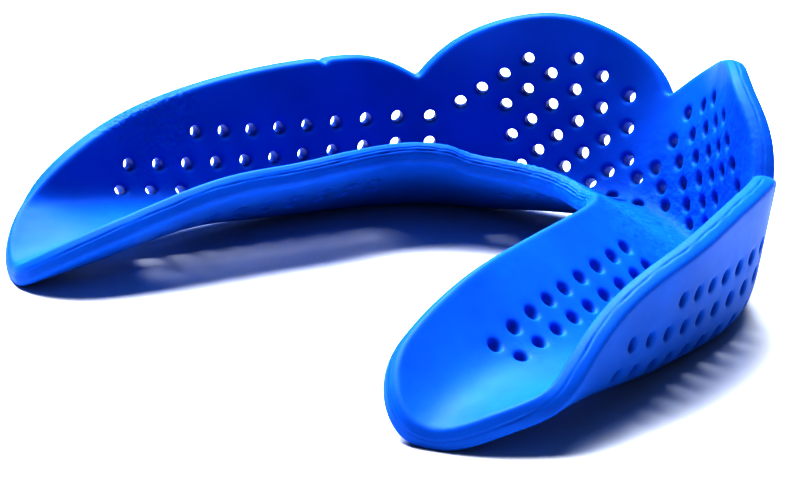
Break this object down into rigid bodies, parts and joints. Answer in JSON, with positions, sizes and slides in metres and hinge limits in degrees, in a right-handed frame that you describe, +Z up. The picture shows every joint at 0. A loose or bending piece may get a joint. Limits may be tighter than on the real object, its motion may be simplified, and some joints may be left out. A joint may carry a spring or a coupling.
{
  "type": "mouth tray",
  "caption": "Horseshoe mouth tray of thin perforated plastic with a scalloped outer flange, a rounded trough and a low inner lip, held between the teeth.",
  "frame": {"origin": "centre of the tray's outline on the plane that it stands on", "axes": "+Z up, out of the trough; +Y towards the lips at the closed front of the arch; X across the arch, which opens towards -Y"},
  "size_m": [0.062, 0.0612, 0.0185],
  "materials": {
    "blue_plastic": "satin royal blue, smooth moulded surface"
  },
  "bodies": {
    "root": {"tray_shell": "blue_plastic"}
  },
  "joints": []
}
